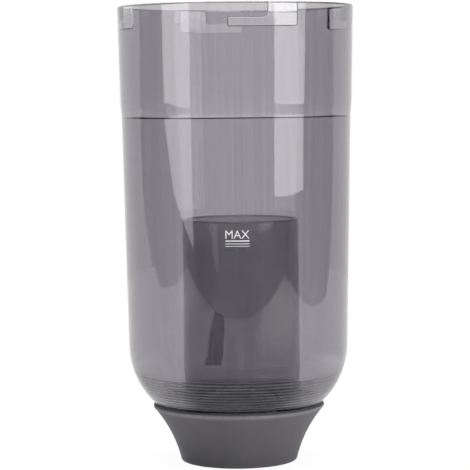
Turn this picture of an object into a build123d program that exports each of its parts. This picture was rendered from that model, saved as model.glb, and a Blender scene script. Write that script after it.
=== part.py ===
"""Cyclone dust bin of an in-line stick vacuum: a clear smoke-grey cup with a central inlet tube,
standing on an opaque conical base that hides the wand socket.

Frame: millimetres, +Z up along the cup's axis, origin at the centre of the base's flat foot.
The fill mark faces -Y, and angles round the rim are counted from there towards +X.
"""

from build123d import *
from math import atan2, cos, degrees, hypot, radians, sin, sqrt, tan
import os

# Overall form of the cup
HEIGHT = 241.5
RIM_RADIUS = 62.3
SEAT_DEPTH = 58.5
RIM_DRAFT = 1.2
WALL_DRAFT = 1.06
WALL = 2.7
RIM_ROUND = 0.9
STEP_IN = 0.48
STEP_RISE = 8.0

# Inside of the rim: a drafted wall down to the lid's pilot land, and a taper from there to the ledge
RIM_WALL = 2.5
RIM_LEAD = 0.6
LAND_RISE = 13.0
LAND_HEIGHT = 5.0
LEDGE_WIDTH = 0.57
LEDGE_BEVEL = 45.0

# Bayonet tracks inside the rim
TRACK_COUNT = 4
TRACK_WALL = 1.2
TRACK_CHANNEL = 4.9
TRACK_REACH = 12.4
TRACK_START = -3.7
TRACK_ENTRY_START = 15.4
TRACK_ENTRY_END = 31.0
TRACK_LEAN = 0.4
TRACK_ROUND = 2.2
TRACK_END_ROUND = 0.8
TRACK_EDGE = 0.6

# Rounded bottom of the cup and the slightly proud band of fine rings on it
SHOULDER_HEIGHT = 62.2
SHOULDER_ARC = 43.0
RING_COUNT = 10
RING_DEPTH = 0.1
RING_WIDTH = 1.2
RING_PITCH = 1.9
RING_PROUD = 0.12
RING_RAMP = 2.9
RING_GAP_BELOW = 1.9

# Inlet tube, moulded in one with the cup, a little to one side of its axis
TUBE_TOP = 129.3
TUBE_OFFSET = 1.8
DUST_GAP = 28.2
TUBE_DRAFT = 0.2
TUBE_WALL = 2.2
TUBE_RIM_ROUND = 0.7
TUBE_FOOT_FILLET = 3.0
NECK_WALL = 2.6
NECK_DROP = 17.1
BEAD_HEIGHT = 1.6
BEAD_RISE = 0.9
BEAD_PROUD = 0.6

# Conical base
CONE_DROP = 31.8
CONE_PROUD = 1.35
CONE_LIP = 1.2
CONE_LIP_ROUND = 0.6
CONE_FLARE = 14.4
CONE_FOOT_ROUND = 1.5
CONE_HOLLOW = 1.8
CONE_SHELL = 2.2
CONE_PLATE = 2.4
RIB_COUNT = 8
RIB_WIDTH = 1.6
RIB_INSET = 1.5
HOOK_COUNT = 6
HOOK_ANGLE = 18.0
HOOK_HEIGHT = 1.6

# Wand socket
WAND_BORE_RADIUS = 17.6
SOCKET_WALL = 3.0
SOCKET_RECESS = 0.8
SOCKET_LEAD = 0.8
SOCKET_DEPTH = 21.2
FLANGE_THICK = 2.5
STOP_WIDTH = 1.2
STOP_THICK = 1.2
STOP_FLARE = 1.6
CATCH_WIDTH = 8.0
CATCH_HEIGHT = 4.0
CATCH_BOTTOM = 4.6

# Rubber rings
NECK_SEAL_HEIGHT = 0.7
NECK_SEAL_WIDTH = 0.6
GASKET_THICK = 0.8
GASKET_INSET = 0.3
WAND_SEAL_THICK = 1.5
WAND_SEAL_WIDTH = 1.9
WAND_SEAL_UNDERCUT = 0.4

# Clearances between pieces
SLIP = 0.1
FIT = 0.3
MOUTH_GAP = 0.4

# Heights and radii that follow from the sizes above
SEAT_HEIGHT = HEIGHT - SEAT_DEPTH
STEP_TOP = SEAT_HEIGHT + STEP_RISE
LAND_TOP = SEAT_HEIGHT + LAND_RISE
LAND_BOTTOM = LAND_TOP - LAND_HEIGHT
CONE_RIM = SHOULDER_HEIGHT - CONE_DROP
NECK_END = CONE_RIM - NECK_DROP


def rim_outside(z):
    """Outer radius of the cup's wall above the step."""
    return RIM_RADIUS - (HEIGHT - z) * tan(radians(RIM_DRAFT))


def rim_inside(z):
    """Inner radius of the cup's wall above the pilot land."""
    return rim_outside(z) - RIM_WALL


SEAT_RADIUS = rim_outside(SEAT_HEIGHT) - STEP_IN
LID_BORE_RADIUS = rim_inside(LAND_TOP)
TUBE_TOP_RADIUS = LID_BORE_RADIUS - DUST_GAP


def wall_radius(z):
    """Outer radius of the cup's wall below the ledge."""
    return SEAT_RADIUS - (SEAT_HEIGHT - z) * tan(radians(WALL_DRAFT))


BOWL_R = wall_radius(SHOULDER_HEIGHT) - SHOULDER_ARC * cos(radians(WALL_DRAFT))
BOWL_Z = SHOULDER_HEIGHT + SHOULDER_ARC * sin(radians(WALL_DRAFT))


def bowl_point(angle, inset=0.0):
    """Point of the rounded bottom, at an angle in degrees below its centre, inset into the wall."""
    reach = SHOULDER_ARC - inset
    return (BOWL_R + reach * cos(radians(angle)), BOWL_Z - reach * sin(radians(angle)))


def bowl_radius(z, inset=0.0):
    """Radius of the rounded bottom at a height."""
    return BOWL_R + sqrt((SHOULDER_ARC - inset) ** 2 - (BOWL_Z - z) ** 2)


def bowl_height(r, inset=0.0):
    """Height of the rounded bottom at a radius."""
    return BOWL_Z - sqrt((SHOULDER_ARC - inset) ** 2 - (r - BOWL_R) ** 2)


def bowl_angle(r, z):
    """Angle below the bottom's centre of a point on it."""
    return degrees(atan2(BOWL_Z - z, r - BOWL_R))


def tube_radius(z):
    """Outer radius of the inlet tube about its own axis."""
    return TUBE_TOP_RADIUS + (TUBE_TOP - z) * tan(radians(TUBE_DRAFT))


def tube_bore(z):
    """Inner radius of the inlet tube about its own axis."""
    return tube_radius(z) - TUBE_WALL


NOTCH_TOP = CONE_RIM + NECK_SEAL_HEIGHT
NOTCH_RADIUS = bowl_radius(CONE_RIM)
NECK_BORE = tube_bore(CONE_RIM) - TUBE_OFFSET
NECK_RADIUS = NECK_BORE + NECK_WALL
BEAD_BOTTOM = NECK_END + BEAD_RISE
BEAD_TOP = BEAD_BOTTOM + BEAD_HEIGHT
FLANGE_TOP = NECK_END - GASKET_THICK
FLANGE_BOTTOM = FLANGE_TOP - FLANGE_THICK
SLEEVE_RADIUS = WAND_BORE_RADIUS + SOCKET_WALL
BORE_END = SOCKET_RECESS + SOCKET_DEPTH
SEAL_ROOM_RADIUS = WAND_BORE_RADIUS + WAND_SEAL_UNDERCUT


def circle_through(a, b, c):
    """Centre and radius of the circle through three points."""
    d = 2 * (a[0] * (b[1] - c[1]) + b[0] * (c[1] - a[1]) + c[0] * (a[1] - b[1]))
    sa, sb, sc = (p[0] ** 2 + p[1] ** 2 for p in (a, b, c))
    x = (sa * (b[1] - c[1]) + sb * (c[1] - a[1]) + sc * (a[1] - b[1])) / d
    y = (sa * (c[0] - b[0]) + sb * (a[0] - c[0]) + sc * (b[0] - a[0])) / d
    return (x, y), hypot(a[0] - x, a[1] - y)


# Hollow-sided outline of the cone, through its lip, the middle of its side and its foot
CONE_RADIUS = bowl_radius(NOTCH_TOP) + CONE_PROUD
CONE_FOOT_RADIUS = CONE_RADIUS - CONE_FLARE
CONE_TOP = (CONE_RADIUS, CONE_RIM - CONE_LIP)
CONE_FOOT = (CONE_FOOT_RADIUS, CONE_FOOT_ROUND)
CONE_RUN = (CONE_TOP[0] - CONE_FOOT[0], CONE_TOP[1] - CONE_FOOT[1])
CONE_MIDDLE = (
    (CONE_TOP[0] + CONE_FOOT[0]) / 2 - CONE_HOLLOW * CONE_RUN[1] / hypot(*CONE_RUN),
    (CONE_TOP[1] + CONE_FOOT[1]) / 2 + CONE_HOLLOW * CONE_RUN[0] / hypot(*CONE_RUN),
)
CONE_CENTRE, CONE_REACH = circle_through(CONE_TOP, CONE_MIDDLE, CONE_FOOT)


def cone_inside(z):
    """Radius of the cone's inside face at a height."""
    return CONE_CENTRE[0] - sqrt((CONE_REACH + CONE_SHELL) ** 2 - (z - CONE_CENTRE[1]) ** 2)


FLANGE_RADIUS = cone_inside(FLANGE_BOTTOM) - FIT


def spin(edges):
    """Solid of revolution about Z, from a closed outline drawn in (radius, height)."""
    return revolve(Plane.XZ * make_face(edges), Axis.Z)


def polygon(*points):
    """Closed outline through points."""
    return [Polyline(*points, close=True)]


def arc_on_bowl(start, end, inset=0.0):
    """Stretch of the rounded bottom's outline between two angles."""
    middle = (start + end) / 2
    return ThreePointArc(bowl_point(start, inset), bowl_point(middle, inset), bowl_point(end, inset))


def ring_sector(inner, outer, low, high, start, end, lean=0.0):
    """Part of a ring between two angles, counted from -Y towards +X, with its outer side leaning out."""
    top = outer + (high - low) * tan(radians(lean))
    section = polygon((inner, low), (outer, low), (top, high), (inner, high))
    turned = revolve(Plane.XZ * make_face(section), Axis.Z, revolution_arc=end - start)
    return Rot(0, 0, start - 90) * turned


def around(shape, count):
    """The same shape in evenly spaced places round the axis."""
    return [Rot(0, 0, i * 360 / count) * shape for i in range(count)]


def shoulder_rings(first):
    """Outline of the ring band from an angle down the rounded bottom: fine V grooves with lands between."""
    step = degrees(RING_PITCH / SHOULDER_ARC)
    half = degrees(RING_WIDTH / SHOULDER_ARC) / 2
    outline = []
    for i in range(RING_COUNT):
        middle = first + (i + 0.5) * step
        upper, lower = middle - half, middle + half
        outline.append(arc_on_bowl(first + i * step, upper, -RING_PROUD))
        outline.append(
            Polyline(
                bowl_point(upper, -RING_PROUD),
                bowl_point(middle, RING_DEPTH - RING_PROUD),
                bowl_point(lower, -RING_PROUD),
            )
        )
        outline.append(arc_on_bowl(lower, first + (i + 1) * step, -RING_PROUD))
    return outline


def cup_outline():
    """Section of the cup without its tube: wall, lid bore, rounded bottom with rings, and neck."""
    notch_edge = (bowl_radius(NOTCH_TOP), NOTCH_TOP)
    last_ring = bowl_angle(*notch_edge) - degrees(RING_GAP_BELOW / SHOULDER_ARC)
    first_ring = last_ring - degrees(RING_COUNT * RING_PITCH / SHOULDER_ARC)
    ramp_start = first_ring - degrees(RING_RAMP / SHOULDER_ARC)

    round_start = (RIM_RADIUS - RIM_ROUND, HEIGHT)
    round_end = (rim_outside(HEIGHT - RIM_ROUND), HEIGHT - RIM_ROUND)
    step_start = (rim_outside(STEP_TOP), STEP_TOP)
    step_end = (SEAT_RADIUS, SEAT_HEIGHT)
    step_middle = ((step_start[0] + step_end[0]) / 2, (step_start[1] + step_end[1]) / 2)
    wall_end = bowl_point(WALL_DRAFT)
    outside = [
        Line((rim_inside(HEIGHT) + RIM_LEAD, HEIGHT), round_start),
        RadiusArc(round_start, round_end, RIM_ROUND),
        Line(round_end, step_start),
        TangentArc(step_start, step_middle, tangent=(-tan(radians(RIM_DRAFT)), -1)),
        TangentArc(step_end, step_middle, tangent=(tan(radians(WALL_DRAFT)), 1)),
        Line(step_end, wall_end),
        arc_on_bowl(WALL_DRAFT, ramp_start),
        Line(bowl_point(ramp_start), bowl_point(first_ring, -RING_PROUD)),
        *shoulder_rings(first_ring),
        Line(bowl_point(last_ring, -RING_PROUD), notch_edge),
        Polyline(notch_edge, (NOTCH_RADIUS, NOTCH_TOP), (NOTCH_RADIUS, CONE_RIM)),
    ]

    neck_top = (NECK_RADIUS, bowl_height(NECK_RADIUS))
    floor_edge = (NECK_BORE, bowl_height(NECK_BORE, WALL))
    proud = NECK_RADIUS + BEAD_PROUD
    neck = [
        arc_on_bowl(bowl_angle(NOTCH_RADIUS, CONE_RIM), bowl_angle(*neck_top)),
        Polyline(
            neck_top,
            (NECK_RADIUS, BEAD_TOP),
            (proud, BEAD_TOP),
            (proud, BEAD_TOP - BEAD_HEIGHT / 2),
            (NECK_RADIUS, BEAD_BOTTOM),
            (NECK_RADIUS, NECK_END),
            (NECK_BORE, NECK_END),
            floor_edge,
        ),
    ]

    wall_foot = bowl_point(WALL_DRAFT, WALL)
    ledge_inner = SEAT_RADIUS - WALL
    inside = [
        arc_on_bowl(bowl_angle(*floor_edge), WALL_DRAFT, WALL),
        Polyline(
            wall_foot,
            (ledge_inner, SEAT_HEIGHT),
            (ledge_inner + LEDGE_WIDTH, SEAT_HEIGHT + LEDGE_WIDTH * tan(radians(LEDGE_BEVEL))),
            (LID_BORE_RADIUS, LAND_BOTTOM),
            (LID_BORE_RADIUS, LAND_TOP),
            (rim_inside(HEIGHT - RIM_LEAD), HEIGHT - RIM_LEAD),
            (rim_inside(HEIGHT) + RIM_LEAD, HEIGHT),
        ),
    ]
    return outside + neck + inside


def inlet_tube():
    """Inlet tube on its own axis, with its foot let into the cup's floor."""
    foot = bowl_height(NECK_BORE, WALL) - SLIP
    tube = spin(
        polygon(
            (tube_bore(foot), foot),
            (tube_radius(foot), foot),
            (TUBE_TOP_RADIUS, TUBE_TOP),
            (tube_bore(TUBE_TOP), TUBE_TOP),
        )
    )
    rim = tube.edges().filter_by(lambda e: abs(e.position_at(0.5).Z - TUBE_TOP) < SLIP)
    return Pos(TUBE_OFFSET, 0, 0) * fillet(rim, TUBE_RIM_ROUND)


def track_cutter():
    """One L-shaped bayonet track: an entry from the rim and a channel to one side of it."""
    bottom = HEIGHT - TRACK_REACH
    channel_top = bottom + TRACK_CHANNEL
    above = HEIGHT + RIM_LEAD
    inner = rim_inside(bottom) - RIM_LEAD
    outer = rim_outside(bottom) - TRACK_WALL
    whole = ring_sector(inner, outer, bottom, above, TRACK_START, TRACK_ENTRY_END, TRACK_LEAN)
    tongue = ring_sector(
        inner - RIM_LEAD, outer + RIM_WALL, channel_top, above + RIM_LEAD, -TRACK_ENTRY_END, TRACK_ENTRY_START
    )
    track = whole - tongue

    def radial_edges(angle, height):
        """Edges that run outwards at one corner of the track."""
        spot = Vector(sin(radians(angle)), -cos(radians(angle)), 0) * (inner + outer) / 2
        corner = spot + Vector(0, 0, height)
        return track.edges().filter_by(lambda e: (e.center() - corner).length < RIM_LEAD)

    def on_floor(edge):
        """Whether an edge runs along the track's floor, the face that leans, and below the rim's top."""
        spot = edge.position_at(0.5)
        floor = outer + (spot.Z - bottom) * tan(radians(TRACK_LEAN))
        return spot.Z < HEIGHT and abs(hypot(spot.X, spot.Y) - floor) < SLIP

    track = fillet(
        radial_edges(TRACK_ENTRY_END, bottom) + radial_edges(TRACK_ENTRY_START, channel_top), TRACK_ROUND
    )
    track = fillet(
        radial_edges(TRACK_START, bottom) + radial_edges(TRACK_START, channel_top), TRACK_END_ROUND
    )
    return fillet(track.edges().filter_by(on_floor), TRACK_EDGE)


def bin_cup():
    """Clear cup with its inlet tube, one moulding."""
    cup = spin(cup_outline()) + inlet_tube()

    def at_tube_foot(edge):
        """Whether an edge is the seam between the tube's outside and the cup's floor."""
        spot = edge.position_at(0.5)
        return spot.Z < CONE_RIM and abs(hypot(spot.X - TUBE_OFFSET, spot.Y) - tube_radius(spot.Z)) < SLIP

    cup = fillet(cup.edges().filter_by(at_tube_foot), TUBE_FOOT_FILLET)
    return cup - around(track_cutter(), TRACK_COUNT)


def base_cone():
    """Opaque base: a hollow-sided cone with a foot plate, ribs under the socket's flange and hooks."""
    mouth = SLEEVE_RADIUS + MOUTH_GAP
    foot_flat = (CONE_FOOT_RADIUS - CONE_FOOT_ROUND, 0)
    half = (CONE_PLATE + CONE_RIM) / 2
    inner_low = (cone_inside(CONE_PLATE), CONE_PLATE)
    inner_high = (cone_inside(CONE_RIM), CONE_RIM)
    lip_start = (CONE_RADIUS, CONE_RIM - CONE_LIP_ROUND)
    lip_end = (CONE_RADIUS - CONE_LIP_ROUND, CONE_RIM)
    cone = spin(
        [
            Line((mouth, 0), foot_flat),
            RadiusArc(foot_flat, CONE_FOOT, -CONE_FOOT_ROUND),
            ThreePointArc(CONE_FOOT, CONE_MIDDLE, CONE_TOP),
            Line(CONE_TOP, lip_start),
            RadiusArc(lip_start, lip_end, -CONE_LIP_ROUND),
            Line(lip_end, inner_high),
            ThreePointArc(inner_high, (cone_inside(half), half), inner_low),
            Polyline(inner_low, (mouth, CONE_PLATE), (mouth, 0)),
        ]
    )

    rib_start = mouth + RIB_INSET
    rib_end = cone_inside(FLANGE_BOTTOM) + CONE_SHELL / 2
    foot_end = cone_inside(CONE_PLATE) + CONE_SHELL / 2
    rib_base = CONE_PLATE / 2
    rib_side = make_face(
        polygon(
            (rib_start, rib_base),
            (foot_end, rib_base),
            (rib_end, FLANGE_BOTTOM),
            (rib_start, FLANGE_BOTTOM),
        )
    )
    rib = extrude(Plane.XZ * rib_side, RIB_WIDTH / 2, both=True)
    hook_low = BEAD_TOP + FIT
    hook_high = hook_low + HOOK_HEIGHT
    hook = ring_sector(
        NECK_RADIUS + FIT,
        cone_inside(hook_low) + CONE_SHELL / 2,
        hook_low,
        hook_high,
        -HOOK_ANGLE / 2,
        HOOK_ANGLE / 2,
    )
    side = bowl_point(0, -FIT)
    lowest = bowl_point(90, -FIT)
    bowl_room = spin(
        [arc_on_bowl(0, 90, -FIT), Polyline(lowest, (0, lowest[1]), (0, BOWL_Z), side)]
    )
    return cone + around(rib, RIB_COUNT) + around(hook, HOOK_COUNT) - bowl_room


def wand_socket():
    """Sleeve that takes the wand, with a flange held under the neck and a stop at its inner end."""
    stop_bottom = BORE_END + WAND_SEAL_THICK
    stop_top = stop_bottom + STOP_THICK
    stop_radius = WAND_BORE_RADIUS - STOP_WIDTH
    socket = spin(
        polygon(
            (WAND_BORE_RADIUS + SOCKET_LEAD, SOCKET_RECESS),
            (SLEEVE_RADIUS, SOCKET_RECESS),
            (SLEEVE_RADIUS, FLANGE_BOTTOM),
            (FLANGE_RADIUS, FLANGE_BOTTOM),
            (FLANGE_RADIUS, FLANGE_TOP),
            (SLEEVE_RADIUS, FLANGE_TOP),
            (SLEEVE_RADIUS, stop_top),
            (stop_radius + STOP_FLARE, stop_top),
            (stop_radius, stop_top - STOP_THICK / 2),
            (stop_radius, stop_bottom),
            (SEAL_ROOM_RADIUS, stop_bottom),
            (SEAL_ROOM_RADIUS, BORE_END),
            (WAND_BORE_RADIUS, BORE_END),
            (WAND_BORE_RADIUS, SOCKET_RECESS + SOCKET_LEAD),
        )
    )
    catch_middle = CATCH_BOTTOM + CATCH_HEIGHT / 2
    catch = Pos(0, WAND_BORE_RADIUS + SOCKET_WALL / 2, catch_middle) * Box(
        CATCH_WIDTH, 2 * SOCKET_WALL, CATCH_HEIGHT
    )
    return socket - catch


def square_ring(inner, outer, low, high):
    """Ring of rectangular section."""
    return spin(polygon((inner, low), (outer, low), (outer, high), (inner, high)))


def neck_seal():
    """Black ring in the joint between cup and cone."""
    inner = NOTCH_RADIUS + SLIP
    return square_ring(inner, inner + NECK_SEAL_WIDTH, CONE_RIM, NOTCH_TOP)


def tube_gasket():
    """Flat gasket between the neck's end and the socket's flange."""
    return square_ring(
        NECK_BORE + GASKET_INSET, FLANGE_RADIUS - GASKET_INSET, FLANGE_TOP, NECK_END
    )


def wand_seal():
    """Washer in the undercut at the end of the socket's bore, which the wand presses on."""
    outer = SEAL_ROOM_RADIUS - SLIP
    return square_ring(outer - WAND_SEAL_WIDTH, outer, BORE_END, BORE_END + WAND_SEAL_THICK)


PIECES = {
    "bin_cup": bin_cup,
    "base_cone": base_cone,
    "wand_socket": wand_socket,
    "neck_seal": neck_seal,
    "tube_gasket": tube_gasket,
    "wand_seal": wand_seal,
}

os.makedirs("parts", exist_ok=True)
for name, make in PIECES.items():
    piece = make()
    piece.label = name
    export_step(piece, f"parts/{name}.step")
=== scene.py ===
"""Looks of a clear cyclone dust bin on a white table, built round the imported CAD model.

Lengths are metres, +Z is up and the fill mark faces -Y, as in the CAD frame. Azimuths are degrees
about the cup's axis, counted from the camera's side (-Y) towards +X.
"""

import math

import bpy
import numpy as np
from mathutils import Euler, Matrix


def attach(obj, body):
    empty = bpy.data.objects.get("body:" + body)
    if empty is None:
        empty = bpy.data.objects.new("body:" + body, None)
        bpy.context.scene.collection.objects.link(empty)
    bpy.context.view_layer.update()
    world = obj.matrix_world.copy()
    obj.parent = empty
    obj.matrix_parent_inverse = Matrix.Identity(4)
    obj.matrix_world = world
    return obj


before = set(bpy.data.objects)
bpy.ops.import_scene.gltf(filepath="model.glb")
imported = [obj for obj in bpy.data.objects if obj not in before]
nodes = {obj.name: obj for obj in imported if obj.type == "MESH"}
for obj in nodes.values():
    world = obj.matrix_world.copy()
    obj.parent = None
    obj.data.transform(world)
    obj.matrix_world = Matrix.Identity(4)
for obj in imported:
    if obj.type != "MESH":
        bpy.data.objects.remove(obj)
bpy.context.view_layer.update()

MM = 0.001
WHITE = (1.0, 1.0, 1.0)


# Small helpers

def add(tree, kind, **values):
    """A node of that kind with its properties, or its input sockets by name, set to values."""
    node = tree.nodes.new(kind)
    for key, value in values.items():
        if key in node.inputs:
            node.inputs[key].default_value = value
        else:
            setattr(node, key, value)
    return node


def calc(tree, operation, *values):
    """Output of a Math node, whose inputs are numbers or other nodes' outputs."""
    node = add(tree, "ShaderNodeMath", operation=operation)
    for socket, value in zip(node.inputs, values):
        if isinstance(value, (int, float)):
            socket.default_value = value
        else:
            tree.links.new(value, socket)
    return node.outputs[0]


def product(tree, first, *others):
    """Output that multiplies several values or masks."""
    for other in others:
        first = calc(tree, "MULTIPLY", first, other)
    return first


def hypotenuse(tree, a, b):
    """Output of the root of the sum of two squares."""
    return calc(tree, "SQRT", calc(tree, "ADD", product(tree, a, a), product(tree, b, b)))


def span(tree, value, low, high, to_low=0.0, to_high=1.0, smooth=False):
    """Output of a clamped Map Range node from low..high to another range."""
    node = add(tree, "ShaderNodeMapRange", clamp=True)
    if smooth:
        node.interpolation_type = "SMOOTHSTEP"
    for key, number in (("From Min", low), ("From Max", high), ("To Min", to_low), ("To Max", to_high)):
        node.inputs[key].default_value = number
    tree.links.new(value, node.inputs["Value"])
    return node.outputs[0]


def blend(tree, factor, low, high, mode="MIX"):
    """Colour output between two colours, each given as three numbers or as another node's output."""
    node = add(tree, "ShaderNodeMix", data_type="RGBA", blend_type=mode)
    tree.links.new(factor, node.inputs["Factor"])
    for socket, colour in ((node.inputs["A"], low), (node.inputs["B"], high)):
        if isinstance(colour, tuple):
            socket.default_value = (*colour, 1.0)
        else:
            tree.links.new(colour, socket)
    return node.outputs["Result"]


def mix_shaders(tree, factor, first, second):
    """Shader output that goes from the first to the second as the factor goes from 0 to 1."""
    mix = add(tree, "ShaderNodeMixShader")
    for value, socket in zip((factor, first, second), mix.inputs):
        tree.links.new(value, socket)
    return mix.outputs[0]


def bump(tree, height, depth, below=None):
    """Normal output of a height pattern of that depth, on top of another normal where one is given."""
    node = add(tree, "ShaderNodeBump", Strength=1.0, Distance=depth)
    tree.links.new(height, node.inputs["Height"])
    if below:
        tree.links.new(below, node.inputs["Normal"])
    return node.outputs[0]


def noise(tree, place, **values):
    """Output of a noise pattern at a place."""
    node = add(tree, "ShaderNodeTexNoise", **values)
    tree.links.new(place, node.inputs["Vector"])
    return node.outputs[0]


def object_place(tree):
    """Object coordinates as a vector, and its X, Y and Z."""
    place = add(tree, "ShaderNodeTexCoord").outputs["Object"]
    axes = add(tree, "ShaderNodeSeparateXYZ")
    tree.links.new(place, axes.inputs[0])
    return place, axes.outputs["X"], axes.outputs["Y"], axes.outputs["Z"]


def drawn_out(tree, x, y, z, turns, rises):
    """Place for a pattern drawn out on the wall: the angle round the axis and the height, each scaled."""
    place = add(tree, "ShaderNodeCombineXYZ")
    tree.links.new(product(tree, calc(tree, "ARCTAN2", x, y), turns), place.inputs["X"])
    tree.links.new(product(tree, z, rises), place.inputs["Z"])
    return place.outputs[0]


def new_material(name):
    """A node material with its Principled BSDF."""
    material = bpy.data.materials.new(name)
    material.use_nodes = True
    tree = material.node_tree
    return material, tree, tree.nodes["Principled BSDF"]


def new_object(name, points, faces, material):
    """Mesh object from points and faces."""
    mesh = bpy.data.meshes.new(name)
    mesh.from_pydata(np.asarray(points, float).tolist(), [], np.asarray(faces).tolist())
    mesh.materials.append(material)
    obj = bpy.data.objects.new(name, mesh)
    bpy.context.scene.collection.objects.link(obj)
    return obj


def grid_faces(rows, columns):
    """Quads of a grid of points stored row by row."""
    i, j = np.meshgrid(np.arange(rows - 1), np.arange(columns - 1), indexing="ij")
    a = (i * columns + j).ravel()
    return np.stack([a, a + 1, a + columns + 1, a + columns], axis=1)


# Effects shared by several finishes, as node groups

MOTTLE_SCALE = 46.0
SCUFF_TURNS = 0.9
SCUFF_RISES = 900.0
SCUFF_PATCHES = 60.0


def new_group(name, inputs, outputs):
    """Empty shader node group with float inputs (name, default) and named float outputs."""
    tree = bpy.data.node_groups.new(name, "ShaderNodeTree")
    for label, default in inputs:
        socket = tree.interface.new_socket(label, in_out="INPUT", socket_type="NodeSocketFloat")
        socket.default_value = default
    for label in outputs:
        tree.interface.new_socket(label, in_out="OUTPUT", socket_type="NodeSocketFloat")
    return tree, tree.nodes.new("NodeGroupInput").outputs, tree.nodes.new("NodeGroupOutput").inputs


def moulded_grain():
    """Fine moulded texture: a height made of two sizes of noise, and a slow mottle for tone and gloss."""
    tree, given, result = new_group("moulded_grain", [("Grain", 1400.0)], ["Height", "Mottle"])
    place, _, _, _ = object_place(tree)
    fine = add(tree, "ShaderNodeTexNoise", Detail=2.0, Roughness=0.6)
    cells = add(tree, "ShaderNodeTexVoronoi", feature="SMOOTH_F1")
    cells.inputs["Smoothness"].default_value = 0.6
    for pattern in (fine, cells):
        tree.links.new(place, pattern.inputs["Vector"])
        tree.links.new(given["Grain"], pattern.inputs["Scale"])
    tree.links.new(calc(tree, "ADD", fine.outputs[0], cells.outputs["Distance"]), result["Height"])
    slow = noise(tree, place, Scale=MOTTLE_SCALE, Detail=4.0, Roughness=0.55)
    tree.links.new(span(tree, slow, 0.3, 0.7), result["Mottle"])
    return tree


def fine_scuffs():
    """Hairline scuffs round the axis: noise drawn out along the turning direction, cut to thin lines."""
    tree, given, result = new_group("fine_scuffs", [("Amount", 0.3)], ["Scuff"])
    place, x, y, z = object_place(tree)
    along = drawn_out(tree, x, y, z, SCUFF_TURNS, SCUFF_RISES)
    lines = noise(tree, along, Scale=1.0, Detail=3.0, Roughness=0.7)
    patches = noise(tree, place, Scale=SCUFF_PATCHES, Detail=2.0)
    thin = span(tree, lines, 0.58, 0.72)
    here = span(tree, patches, 0.45, 0.65)
    tree.links.new(product(tree, thin, here, given["Amount"]), result["Scuff"])
    return tree


def stray_specks():
    """Sparse round specks: cells of a scattered pattern, of which only a few hold a small dot."""
    inputs = [("Cells", 60.0), ("Share", 0.12), ("Size", 0.06)]
    tree, given, result = new_group("stray_specks", inputs, ["Speck"])
    place, _, _, _ = object_place(tree)
    cells = add(tree, "ShaderNodeTexVoronoi")
    tree.links.new(place, cells.inputs["Vector"])
    tree.links.new(given["Cells"], cells.inputs["Scale"])
    pick = add(tree, "ShaderNodeSeparateColor")
    tree.links.new(cells.outputs["Color"], pick.inputs[0])
    chosen = calc(tree, "LESS_THAN", pick.outputs[0], given["Share"])
    away = calc(tree, "DIVIDE", cells.outputs["Distance"], given["Size"])
    dot = span(tree, calc(tree, "SUBTRACT", 1.0, away), 0.0, 0.6, smooth=True)
    tree.links.new(product(tree, dot, chosen), result["Speck"])
    return tree


GRAIN = moulded_grain()
SCUFFS = fine_scuffs()
SPECKS = stray_specks()


# Clear smoke-grey plastic of the cup

PLASTIC_IOR = 1.54
SMOKE_TINT = (0.222, 0.193, 0.258)
SMOKE_DENSITY = 268.0
PASSING_TINT = (0.98, 0.98, 0.98)
SPECK_TINT = (0.3, 0.3, 0.3)
SPECK_ROUGHNESS = 0.3
SPECK_DEPTH = 0.03 * MM

# Upright flow streaks
STREAK_TURNS = 30.0
STREAK_RISES = 9.0
STREAK_TINT = (0.95, 0.95, 0.955)
STREAK_DEPTH = 0.012 * MM

# Tube: what lies within its reach from the axis, painted shade that darkens its left part, its dark rim,
# and painted shade on its foot, whose edges lean with depth
TUBE_REACH = 32.5 * MM
TUBE_TOP = 129.3 * MM
TUBE_SHADE_TINT = (0.82, 0.815, 0.83)
TUBE_SHADE_FROM = 112.0 * MM
TUBE_SHADE_SIDES = (6 * MM, 26 * MM)
TUBE_SHADE_END = 40.0 * MM
TUBE_RIM_TINT = (0.34, 0.34, 0.35)
TUBE_RIM_DEPTH = 1.1 * MM
TUBE_FOOT_TILT = 0.14
TUBE_FOOT_BAND = (39.0 * MM, 41.2 * MM)
TUBE_FOOT_SHADE = (0.56, 0.555, 0.575)

# Shoulder's rings: the arc they lie on and their places on it in degrees. The grooves on the front half are
# painted darker as painted shade, less so at the sides, and the crests are glossier, less so at the sides
# than in front.
BOWL_CENTRE = (15.367 * MM, 62.995 * MM)
BOWL_REACH = 42.0 * MM
RINGS_FROM = 19.243
RING_STEP = 2.5317
RING_COUNT = 10
RING_SIDES = (24 * MM, 40 * MM)
GROOVE_SHADE = (0.1, 0.097, 0.125)
GROOVE_EDGES = (0.1, 0.3)
GROOVE_ASIDE = 0.8
CREST_EDGES = (0.25, 0.4)
CREST_ASIDE = 0.3
CREST_ROUGHNESS = 0.12
CREST_IOR = 1.8

# Side faces of the bayonet tracks, painted dark as shade: the rim's inner radius at its top, its draft, and
# how deep in the wall and between which heights the faces lie
RIM_TOP = 241.5 * MM
RIM_INSIDE = 59.8 * MM
RIM_SLOPE = math.tan(math.radians(1.2))
TRACK_SIDE = (0.12 * MM, 0.8 * MM)
TRACK_HEIGHTS = (205.0 * MM, 239.8 * MM)
TRACK_SHADE = (0.06, 0.06, 0.065)


def between(tree, value, low, high):
    """Mask of the values that lie between two limits."""
    return product(tree, calc(tree, "GREATER_THAN", value, low), calc(tree, "LESS_THAN", value, high))


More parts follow.
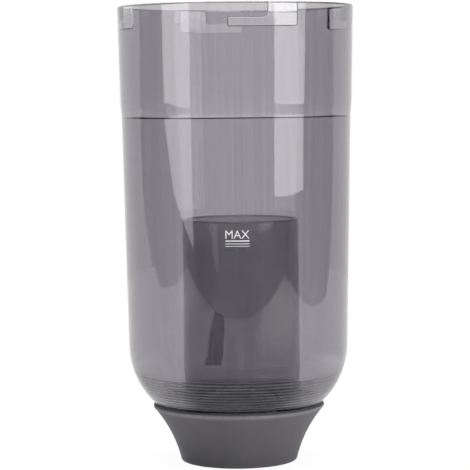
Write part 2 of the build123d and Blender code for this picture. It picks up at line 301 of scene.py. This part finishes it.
def tube_masks(tree, reach, x, y, z):
    """Masks of the tube's painted shade on its left part, its rim and its foot's painted shade, from the
    reach off the axis and the height.
    """
    on_tube = span(tree, reach, TUBE_REACH, TUBE_REACH + MM, 1.0, 0.0)
    left_part = span(tree, x, *TUBE_SHADE_SIDES, 1.0, 0.0)
    below_rim = span(tree, z, TUBE_SHADE_FROM, TUBE_TOP, 1.0, 0.0)
    tilted = calc(tree, "ADD", z, product(tree, y, TUBE_FOOT_TILT))
    above_foot = span(tree, tilted, TUBE_SHADE_END - MM, TUBE_SHADE_END)
    tube_shade = product(tree, on_tube, left_part, below_rim, above_foot)
    rim_edge = span(tree, z, TUBE_TOP - TUBE_RIM_DEPTH, TUBE_TOP - TUBE_RIM_DEPTH / 2)
    low, high = TUBE_FOOT_BAND
    above_low = span(tree, tilted, low, low + MM / 2)
    below_high = span(tree, tilted, high, high + MM / 4, 1.0, 0.0)
    return tube_shade, product(tree, on_tube, rim_edge), product(tree, above_low, below_high, on_tube)


def ring_masks(tree, reach, x, y, z):
    """Masks of the shoulder's grooves, painted with shade on the front half, and crests, from the angle on
    the arc that the rings lie on.

    The angle counted in rings goes up by one from ring to ring, and the groove is in the middle of each.
    """
    out = calc(tree, "SUBTRACT", reach, BOWL_CENTRE[0])
    down = calc(tree, "SUBTRACT", BOWL_CENTRE[1], z)
    angle = calc(tree, "DEGREES", calc(tree, "ARCTAN2", down, out))
    ring = calc(tree, "DIVIDE", calc(tree, "SUBTRACT", angle, RINGS_FROM), RING_STEP)
    off_middle = calc(tree, "ABSOLUTE", calc(tree, "SUBTRACT", calc(tree, "FRACT", ring), 0.5))
    outside = calc(tree, "GREATER_THAN", hypotenuse(tree, out, down), BOWL_REACH)
    band = product(tree, between(tree, ring, 0.0, RING_COUNT), outside)
    aside = calc(tree, "ABSOLUTE", x)
    in_front = calc(tree, "LESS_THAN", y, 0.0)
    groove = product(tree, band, in_front, span(tree, off_middle, *GROOVE_EDGES, 1.0, 0.0),
                     span(tree, aside, *RING_SIDES, 1.0, GROOVE_ASIDE))
    crest = product(tree, band, span(tree, off_middle, *CREST_EDGES),
                    span(tree, aside, *RING_SIDES, 1.0, CREST_ASIDE))
    return groove, crest


def track_mask(tree, reach, z):
    """Mask of the bayonet tracks' side faces, painted dark as shade, which lie between the rim's inside and
    the tracks' floors.
    """
    below_top = calc(tree, "SUBTRACT", RIM_TOP, z)
    inside = calc(tree, "SUBTRACT", RIM_INSIDE, product(tree, below_top, RIM_SLOPE))
    cut_in = calc(tree, "SUBTRACT", reach, inside)
    return product(tree, between(tree, cut_in, *TRACK_SIDE), between(tree, z, *TRACK_HEIGHTS))


def clear_smoke():
    """Polished smoke-grey clear plastic, whose tint grows with its thickness.

    Faint upright flow streaks vary its tint and its surface, a few specks sit in it, and light that
    falls on what is inside passes straight through it.
    """
    material, tree, shader = new_material("clear_smoke")
    link = tree.links.new
    shader.inputs["Transmission Weight"].default_value = 1.0
    shader.inputs["IOR"].default_value = PLASTIC_IOR
    shader.inputs["Coat Roughness"].default_value = CREST_ROUGHNESS
    shader.inputs["Coat IOR"].default_value = CREST_IOR
    _, x, y, z = object_place(tree)
    reach = hypotenuse(tree, x, y)
    upright = drawn_out(tree, x, y, z, STREAK_TURNS, STREAK_RISES)
    streak = noise(tree, upright, Scale=1.0, Detail=3.0, Roughness=0.6)
    tube_shade, rim, foot_shade = tube_masks(tree, reach, x, y, z)
    groove, crest = ring_masks(tree, reach, x, y, z)
    track = track_mask(tree, reach, z)
    specks = add(tree, "ShaderNodeGroup", node_tree=SPECKS, Cells=34.0, Share=0.12, Size=0.011)
    speck = specks.outputs["Speck"]

    colour = blend(tree, span(tree, streak, 0.35, 0.65), STREAK_TINT, WHITE)
    for mask, tint in (
        # Painted shade on the tube's left part and on its foot
        (tube_shade, TUBE_SHADE_TINT),
        (rim, TUBE_RIM_TINT),
        (foot_shade, TUBE_FOOT_SHADE),
        # Painted shade in the grooves on the front half
        (groove, GROOVE_SHADE),
        # Painted shade on the tracks' side faces
        (track, TRACK_SHADE),
        (speck, SPECK_TINT),
    ):
        colour = blend(tree, mask, colour, tint, "MULTIPLY")
    link(colour, shader.inputs["Base Color"])
    link(crest, shader.inputs["Coat Weight"])
    link(product(tree, speck, SPECK_ROUGHNESS), shader.inputs["Roughness"])
    waves = bump(tree, streak, STREAK_DEPTH)
    link(bump(tree, speck, SPECK_DEPTH, waves), shader.inputs["Normal"])

    path = add(tree, "ShaderNodeLightPath")
    passing = calc(tree, "MAXIMUM", path.outputs["Is Shadow Ray"], path.outputs["Is Diffuse Ray"])
    through = add(tree, "ShaderNodeBsdfTransparent", Color=(*PASSING_TINT, 1.0))
    tint = add(tree, "ShaderNodeVolumeAbsorption", Color=(*SMOKE_TINT, 1.0), Density=SMOKE_DENSITY)
    result = tree.nodes["Material Output"]
    link(mix_shaders(tree, passing, shader.outputs[0], through.outputs[0]), result.inputs["Surface"])
    link(tint.outputs[0], result.inputs["Volume"])
    return material


# Opaque finishes

# Paler patchy bands round the axis: real wear, and on the cone's lip a painted highlight. The paler colour
# and the roughness also serve scuffs and specks.
WEAR_AND_HIGHLIGHT_PATCHES = 170.0
MARKS_AND_HIGHLIGHT_PALER = 2.2
MARKS_AND_HIGHLIGHT_ROUGHER = 0.15


def moulded(name, dark, light, gloss, grain, depth, scuffs=0.0, specks=0.0, wear_and_highlight=(), shine=0.5):
    """Opaque moulded finish: mottled between two colours, with grain in its surface and varied gloss.

    wear_and_highlight lists (height, reach, strength) of patchy bands round the axis that are painted
    paler: real wear, and a painted highlight where light falls on an edge.
    """
    material, tree, shader = new_material(name)
    shader.inputs["Specular IOR Level"].default_value = shine
    texture = add(tree, "ShaderNodeGroup", node_tree=GRAIN, Grain=grain)
    mottle = texture.outputs["Mottle"]
    colour = blend(tree, mottle, dark, light)
    roughness = span(tree, mottle, 0.0, 1.0, *gloss)

    marks = []
    if scuffs:
        marks.append(add(tree, "ShaderNodeGroup", node_tree=SCUFFS, Amount=scuffs).outputs["Scuff"])
    if specks:
        dots = add(tree, "ShaderNodeGroup", node_tree=SPECKS, Cells=90.0, Share=0.1, Size=0.05)
        marks.append(product(tree, dots.outputs["Speck"], specks))
    if wear_and_highlight:
        place, _, _, z = object_place(tree)
        uneven = noise(tree, place, Scale=WEAR_AND_HIGHLIGHT_PATCHES, Detail=4.0, Roughness=0.7)
        patches = span(tree, uneven, 0.2, 0.6, 0.5, 1.0)
        for height, reach, strength in wear_and_highlight:
            away = calc(tree, "ABSOLUTE", calc(tree, "SUBTRACT", z, height))
            marks.append(product(tree, span(tree, away, 0.0, reach, 1.0, 0.0), patches, strength))
    if marks:
        total = marks[0]
        for mark in marks[1:]:
            total = calc(tree, "MAXIMUM", total, mark)
        colour = blend(tree, total, colour, tuple(min(1.0, MARKS_AND_HIGHLIGHT_PALER * c) for c in light))
        roughness = calc(tree, "ADD", roughness, product(tree, total, MARKS_AND_HIGHLIGHT_ROUGHER))

    tree.links.new(colour, shader.inputs["Base Color"])
    tree.links.new(roughness, shader.inputs["Roughness"])
    tree.links.new(bump(tree, texture.outputs["Height"], depth), shader.inputs["Normal"])
    return material


FOOT_EDGE_WEAR = (0.4 * MM, 1.6 * MM, 0.3)
# Painted highlight on the cone's rounded lip, where the top light falls
CONE_LIP_HIGHLIGHT = (29.3 * MM, 1.9 * MM, 0.8)

CLEAR = clear_smoke()
GREY = moulded(
    "grey_satin", (0.126, 0.122, 0.132), (0.142, 0.137, 0.148),
    gloss=(0.42, 0.5), grain=1500.0, depth=0.012 * MM,
    scuffs=0.10, specks=0.35, wear_and_highlight=(FOOT_EDGE_WEAR, CONE_LIP_HIGHLIGHT), shine=0.06,
)
SOCKET = moulded(
    "pale_socket", (0.46, 0.46, 0.47), (0.52, 0.52, 0.53),
    gloss=(0.35, 0.45), grain=900.0, depth=0.01 * MM, scuffs=0.15,
)
GREY_RUBBER = moulded(
    "grey_rubber", (0.26, 0.26, 0.26), (0.3, 0.3, 0.3),
    gloss=(0.6, 0.75), grain=700.0, depth=0.02 * MM,
)
BLACK_RUBBER = moulded(
    "black_rubber", (0.07, 0.07, 0.073), (0.085, 0.085, 0.088),
    gloss=(0.55, 0.7), grain=700.0, depth=0.02 * MM,
)
PRINT = moulded(
    "white_print", (0.76, 0.76, 0.78), (0.84, 0.84, 0.86),
    gloss=(0.35, 0.5), grain=2500.0, depth=0.004 * MM,
)

for name, material in (
    ("bin_cup", CLEAR),
    ("base_cone", GREY),
    ("wand_socket", SOCKET),
    ("neck_seal", BLACK_RUBBER),
    ("tube_gasket", GREY_RUBBER),
    ("wand_seal", GREY_RUBBER),
):
    nodes[name].data.materials.clear()
    nodes[name].data.materials.append(material)


# Fill mark: lettering over three level bars, printed on the outside of the wall

MARK_WIDTH = 12.1 * MM
MARK_LETTERS = (122.72 * MM, 126.8 * MM)
MARK_BARS = ((121.46 * MM, 0.63 * MM), (120.0 * MM, 0.33 * MM), (118.79 * MM, 0.30 * MM))
MARK_LIFT = 0.015 * MM
MARK_FILM = 0.03 * MM
MARK_HEIGHTS = (118.0 * MM, 127.5 * MM)
PROBE_ANGLES = np.linspace(-7.0, 7.0, 29)
PROBE_START = 0.2


def wall_at(height):
    """Outer radius of the cup's wall at a height near the mark, probed at places round the front."""
    found = []
    for turn in np.radians(PROBE_ANGLES):
        inwards = (-math.sin(turn), math.cos(turn), 0.0)
        start = (PROBE_START * math.sin(turn), -PROBE_START * math.cos(turn), height)
        _, place, _, _ = nodes["bin_cup"].ray_cast(start, inwards)
        found.append(math.hypot(place[0], place[1]))
    return max(found)


WALL_RADII = tuple(wall_at(height) for height in MARK_HEIGHTS)


def on_wall(across, height, lift):
    """Points on the cup's outside: an arc length across from the front, a height, and a lift off the wall.

    The wall is a cone, so its radius changes evenly with height.
    """
    slope = (WALL_RADII[1] - WALL_RADII[0]) / (MARK_HEIGHTS[1] - MARK_HEIGHTS[0])
    radius = WALL_RADII[0] + slope * (height - MARK_HEIGHTS[0])
    angle = across / radius
    reach = radius + lift
    return np.stack([reach * np.sin(angle), -reach * np.cos(angle), height], axis=-1)


def mark_letters():
    """Lettering made as flat text, scaled to the mark's width and height and wrapped on the wall."""
    text = bpy.data.curves.new("fill_mark_letters", "FONT")
    text.body = "MAX"
    text.extrude = 0.5
    source = bpy.data.objects.new("fill_mark_text", text)
    bpy.context.scene.collection.objects.link(source)
    depsgraph = bpy.context.evaluated_depsgraph_get()
    mesh = bpy.data.meshes.new_from_object(source.evaluated_get(depsgraph))
    bpy.data.objects.remove(source)
    flat = np.empty(len(mesh.vertices) * 3)
    mesh.vertices.foreach_get("co", flat)
    flat = flat.reshape(-1, 3)
    low, high = flat.min(axis=0), flat.max(axis=0)
    share = (flat - low) / (high - low)
    across = (share[:, 0] - 0.5) * MARK_WIDTH
    height = MARK_LETTERS[0] + share[:, 1] * (MARK_LETTERS[1] - MARK_LETTERS[0])
    mesh.vertices.foreach_set("co", on_wall(across, height, MARK_LIFT + share[:, 2] * MARK_FILM).ravel())
    mesh.update()
    mesh.name = "fill_mark_letters"
    mesh.materials.clear()
    mesh.materials.append(PRINT)
    obj = bpy.data.objects.new("fill_mark_letters", mesh)
    bpy.context.scene.collection.objects.link(obj)
    return obj


def mark_bars(steps=25):
    """Level bars: a thin rectangle of ink carried along an arc of the wall, with closed ends."""
    across = np.linspace(-MARK_WIDTH / 2, MARK_WIDTH / 2, steps)
    corner = np.arange(4)
    points, faces = [], []
    for middle, thick in MARK_BARS:
        height = middle + np.array([-1, -1, 1, 1]) * thick / 2
        lift = MARK_LIFT + np.array([0, 1, 1, 0]) * MARK_FILM
        ring = on_wall(*np.broadcast_arrays(across[:, None], height[None, :], lift[None, :]))
        start = len(points)
        points.extend(ring.reshape(-1, 3))
        first = (np.arange(steps - 1)[:, None] * 4 + corner).ravel()
        after = (np.arange(steps - 1)[:, None] * 4 + (corner + 1) % 4).ravel()
        sides = np.stack([first, first + 4, after + 4, after], axis=1)
        ends = np.stack([corner, steps * 4 - 1 - corner])
        faces.extend(np.concatenate([sides, ends]) + start)
    return new_object("fill_mark_bars", points, faces, PRINT)


for piece in (mark_letters(), mark_bars()):
    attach(piece, "root")


# Stage: a white table in a white surround, two softboxes in front and a dim room

# Room's level in reflections ahead and at the sides, the directions between which it changes, and its
# level as plain light
ROOM_SEEN = 0.55
ROOM_SIDES = 0.03
ROOM_TURN = (-0.72, -0.36)
ROOM_LIGHT = 0.48

# Table's paint and its white, and its level in reflections, which is painted light: it rises behind the
# bin, a painted shadow of the bin lowers it close in front of it, and painted pools of light glow more:
# (place, reach, level)
TABLE_PAINT = (0.85, 0.85, 0.85)
TABLE_WHITE = 1.03
TABLE_SHARE = 0.93
TABLE_SEEN = 0.98
TABLE_BACK = 0.15
TABLE_BACK_FROM = (0.0, 0.25)
TABLE_SHADOW_LEVEL = 0.45
TABLE_AHEAD = (0.45, 0.85)
TABLE_CLOSE = (0.07, 0.2)
TABLE_LIGHT_POOLS = (
    ((0.45, -0.5), 0.30, 0.95),
    ((-0.6, -0.45), 0.25, 0.45),
    ((0.24, 0.04), 0.16, 0.6),
    ((-0.24, 0.04), 0.16, 0.3),
)
TABLE_DROP = 0.05 * MM
TABLE_OUTLINE = (
    (-0.75, -0.6), (0.665, -0.6), (0.665, -0.15), (0.75, 0.13), (1.0, 0.31), (1.0, 1.0), (-1.0, 1.0),
    (-1.0, 0.04), (-0.82, -0.09), (-0.75, -0.35),
)

# Dark sheet on the table, which only reflections show
DARK_SHEET_LEVEL = 0.02
DARK_SHEET_LIFT = 0.5 * MM
DARK_SHEET_OUTLINE = (
    (-0.25, -0.6), (-0.146, -0.6), (-0.126, -0.534), (-0.113, -0.443), (-0.103, -0.378), (-0.059, -0.204),
    (-0.111, -0.176), (-0.195, -0.34), (-0.232, -0.395), (-0.258, -0.486),
)

# Surround: its level in reflections from front to back, its plain light, and its edges as heights and
# azimuths
SURROUND_LEVELS = (0.7, 1.05)
SURROUND_DEPTHS = (-0.1, 0.7)
SURROUND_LIGHT = 0.5
SURROUND_RIGHT = ((0.0, 0.03, 0.07, 0.14, 0.24, 0.4), (107.0, 108.8, 110.0, 110.3, 107.6, 105.0))
SURROUND_LEFT = ((0.0, 0.04, 0.07, 0.14, 0.24, 0.4), (265.5, 256.3, 252.9, 251.6, 256.6, 260.2))

# Softboxes: corners as (azimuth, height), radiance low down and higher up, and the share that is plain
# light
LAMP_LEFT = ((-44.5, 0.012), (-43, 0.60), (-74, 0.60), (-73, 0.13), (-64.5, 0.067))
LAMP_LEFT_LEVELS = (2.75, 3.35)
LAMP_LEFT_SHARE = 0.12
LAMP_RIGHT = ((37, 0.061), (68.5, 0.071), (69.5, 0.60), (36, 0.60))
LAMP_RIGHT_LEVELS = (2.9, 2.9)
LAMP_RIGHT_SHARE = 1.25
LAMP_HEIGHTS = (0.08, 0.18)

# Reflections from deep inside the plastic show less of a glow: the depths and what is left
DEEP = (4.0, 5.0)
DEEP_LEFT = 0.3

TOP_SIZE = (1.2, 1.0)
TOP_RADIANCE = 4.4
TOP_PLACE = (0, -0.1, 1.3)


def light_path(tree):
    """Masks from Light Path: seen straight or through clear plastic, and seen in a reflection."""
    path = add(tree, "ShaderNodeLightPath").outputs
    mirrored = calc(tree, "GREATER_THAN", path["Glossy Depth"], 0.5)
    seen = calc(tree, "MAXIMUM", path["Is Camera Ray"], path["Is Transmission Ray"])
    return product(tree, seen, calc(tree, "SUBTRACT", 1.0, mirrored)), mirrored


def front_only(tree, surface):
    """Surface shown on its front alone, so that a camera behind it looks through it."""
    behind = add(tree, "ShaderNodeNewGeometry").outputs["Backfacing"]
    through = add(tree, "ShaderNodeBsdfTransparent").outputs[0]
    result = tree.nodes["Material Output"]
    tree.links.new(mix_shaders(tree, behind, surface, through), result.inputs["Surface"])


def glow(tree, level):
    """Shader output that glows at a level."""
    light = add(tree, "ShaderNodeEmission")
    tree.links.new(level, light.inputs["Strength"])
    return light.outputs[0]


def table_white():
    """White table: white to the camera, with its own level in reflections, and lit paint for its light."""
    material, tree, shader = new_material("table_white")
    shader.inputs["Base Color"].default_value = (*TABLE_PAINT, 1.0)
    shader.inputs["Roughness"].default_value = 0.9
    straight, mirrored = light_path(tree)
    place, _, y, _ = object_place(tree)
    level = span(tree, y, *TABLE_BACK_FROM, TABLE_SEEN, TABLE_SEEN + TABLE_BACK)
    # Painted pools of light, seen in reflections
    for middle, reach, more in TABLE_LIGHT_POOLS:
        away = add(tree, "ShaderNodeVectorMath", operation="DISTANCE")
        tree.links.new(place, away.inputs[0])
        away.inputs[1].default_value = (*middle, 0.0)
        spot = span(tree, away.outputs["Value"], 0.0, reach, more, 0.0, smooth=True)
        level = calc(tree, "ADD", spot, level)
    length = add(tree, "ShaderNodeVectorMath", operation="LENGTH")
    tree.links.new(place, length.inputs[0])
    out = length.outputs["Value"]
    # Painted shadow of the bin, close in front of it, seen in reflections
    ahead = calc(tree, "DIVIDE", product(tree, y, -1.0), out)
    shade = product(tree, span(tree, ahead, *TABLE_AHEAD), span(tree, out, *TABLE_CLOSE, 1.0, 0.0))
    level = product(tree, level, span(tree, shade, 0.0, 1.0, 1.0, TABLE_SHADOW_LEVEL))
    shown = add(tree, "ShaderNodeMix", data_type="FLOAT")
    tree.links.new(mirrored, shown.inputs["Factor"])
    shown.inputs["A"].default_value = TABLE_WHITE
    tree.links.new(level, shown.inputs["B"])
    share = calc(tree, "MAXIMUM", product(tree, straight, TABLE_SHARE), mirrored)
    front_only(tree, mix_shaders(tree, share, shader.outputs[0], glow(tree, shown.outputs["Result"])))
    return material


def glowing(name, low, high, share=1.0):
    """Glowing face whose radiance changes from low to high between two heights.

    Reflections show all of it, a share of it falls on the object as plain light, and it is plain
    white where it is seen straight or through clear plastic.
    """
    material, tree, shader = new_material(name)
    tree.nodes.remove(shader)
    _, _, _, z = object_place(tree)
    straight, mirrored = light_path(tree)
    depth = add(tree, "ShaderNodeLightPath").outputs["Transmission Depth"]
    shown = calc(tree, "MAXIMUM", product(tree, mirrored, span(tree, depth, *DEEP, 1.0, DEEP_LEFT)), share)
    not_straight = calc(tree, "SUBTRACT", 1.0, straight)
    level = product(tree, span(tree, z, *LAMP_HEIGHTS, low, high), shown, not_straight)
    front_only(tree, glow(tree, calc(tree, "ADD", level, straight)))
    return material


def surround_white():
    """Glowing white wall that falls off towards its front edges, and is white where it is seen straight."""
    material, tree, shader = new_material("surround_white")
    tree.nodes.remove(shader)
    _, _, y, _ = object_place(tree)
    straight, mirrored = light_path(tree)
    level = span(tree, y, *SURROUND_DEPTHS, *SURROUND_LEVELS)
    level = product(tree, level, span(tree, mirrored, 0.0, 1.0, SURROUND_LIGHT, 1.0))
    front_only(tree, glow(tree, calc(tree, "MAXIMUM", level, straight)))
    return material


def flat_sheet(name, outline, material, height):
    """Level sheet with an outline of (x, y) points, whose front faces up."""
    points = np.column_stack([outline, np.full(len(outline), height)])
    obj = new_object(name, points, [range(len(outline))], material)


def round_point(azimuth, height, reach=1.0):
    """Point at an azimuth and height, at a distance from the axis."""
    a = np.radians(azimuth)
    return np.stack([reach * np.sin(a), -reach * np.cos(a), height], axis=-1)


def softbox(name, corners, levels, share):
    """Glowing panel 1 m from the axis, with (azimuth, height) corners, whose front faces the axis."""
    azimuth, height = np.array(corners, float)[::-1].T
    points = round_point(azimuth, height)
    obj = new_object(name, points, [range(len(corners))], glowing(name, *levels, share))


def surround(rows=24, columns=60):
    """White wall round the back: part of a cylinder whose two upright edges follow curves of azimuth."""
    height = np.linspace(0.0, 1.0, rows)[:, None]
    right = np.interp(height, *SURROUND_RIGHT)
    left = np.interp(height, *SURROUND_LEFT)
    azimuth = right + (left - right) * np.linspace(0.0, 1.0, columns)[None, :]
    points = round_point(azimuth, np.broadcast_to(height, azimuth.shape)).reshape(-1, 3)
    obj = new_object("surround", points, grid_faces(rows, columns)[:, ::-1], surround_white())


def top_lamp():
    """Rectangular lamp above, whose power is its radiance times its area and pi."""
    light = bpy.data.lights.new("lamp_top", "AREA")
    light.shape = "RECTANGLE"
    light.size, light.size_y = TOP_SIZE
    light.energy = TOP_RADIANCE * TOP_SIZE[0] * TOP_SIZE[1] * math.pi
    obj = bpy.data.objects.new("lamp_top", light)
    obj.location = TOP_PLACE
    bpy.context.scene.collection.objects.link(obj)


def room():
    """World that is white where it is seen straight, even as plain light, and dimmer in reflections."""
    world = bpy.data.worlds.new("room")
    bpy.context.scene.world = world
    world.use_nodes = True
    tree = world.node_tree
    straight, mirrored = light_path(tree)
    axes = add(tree, "ShaderNodeSeparateXYZ")
    tree.links.new(add(tree, "ShaderNodeTexCoord").outputs["Generated"], axes.inputs[0])
    seen = product(tree, mirrored, span(tree, axes.outputs["Y"], *ROOM_TURN, ROOM_SEEN, ROOM_SIDES))
    plain = product(tree, calc(tree, "SUBTRACT", 1.0, mirrored), ROOM_LIGHT)
    level = calc(tree, "MAXIMUM", calc(tree, "MAXIMUM", straight, plain), seen)
    background = tree.nodes["Background"]
    background.inputs["Color"].default_value = (*WHITE, 1.0)
    tree.links.new(level, background.inputs["Strength"])


flat_sheet("table", TABLE_OUTLINE, table_white(), -TABLE_DROP)
flat_sheet("dark_strip", DARK_SHEET_OUTLINE, glowing("dark_sheet", DARK_SHEET_LEVEL, DARK_SHEET_LEVEL), DARK_SHEET_LIFT)
surround()
softbox("lamp_left", LAMP_LEFT, LAMP_LEFT_LEVELS, LAMP_LEFT_SHARE)
softbox("lamp_right", LAMP_RIGHT, LAMP_RIGHT_LEVELS, LAMP_RIGHT_SHARE)
top_lamp()
room()


# Camera: long lens, slightly above the middle, tilted down and rolled a little

CAMERA_PLACE = (-1.2 * MM, -1.0886, 0.1983)
CAMERA_DOWN = 4.1
CAMERA_ROLL = -0.57

camera = bpy.data.cameras.new("camera")
camera.sensor_width = 36.0
camera.lens = 157.0
camera.clip_start = 0.01
camera_obj = bpy.data.objects.new("camera", camera)
camera_obj.location = CAMERA_PLACE
tilt = Euler((math.radians(90 - CAMERA_DOWN), 0, 0)).to_matrix()
roll = Euler((0, 0, math.radians(CAMERA_ROLL))).to_matrix()
camera_obj.rotation_euler = (tilt @ roll).to_euler()
bpy.context.scene.collection.objects.link(camera_obj)
bpy.context.scene.camera = camera_obj

bpy.context.scene.view_settings.view_transform = "Standard"
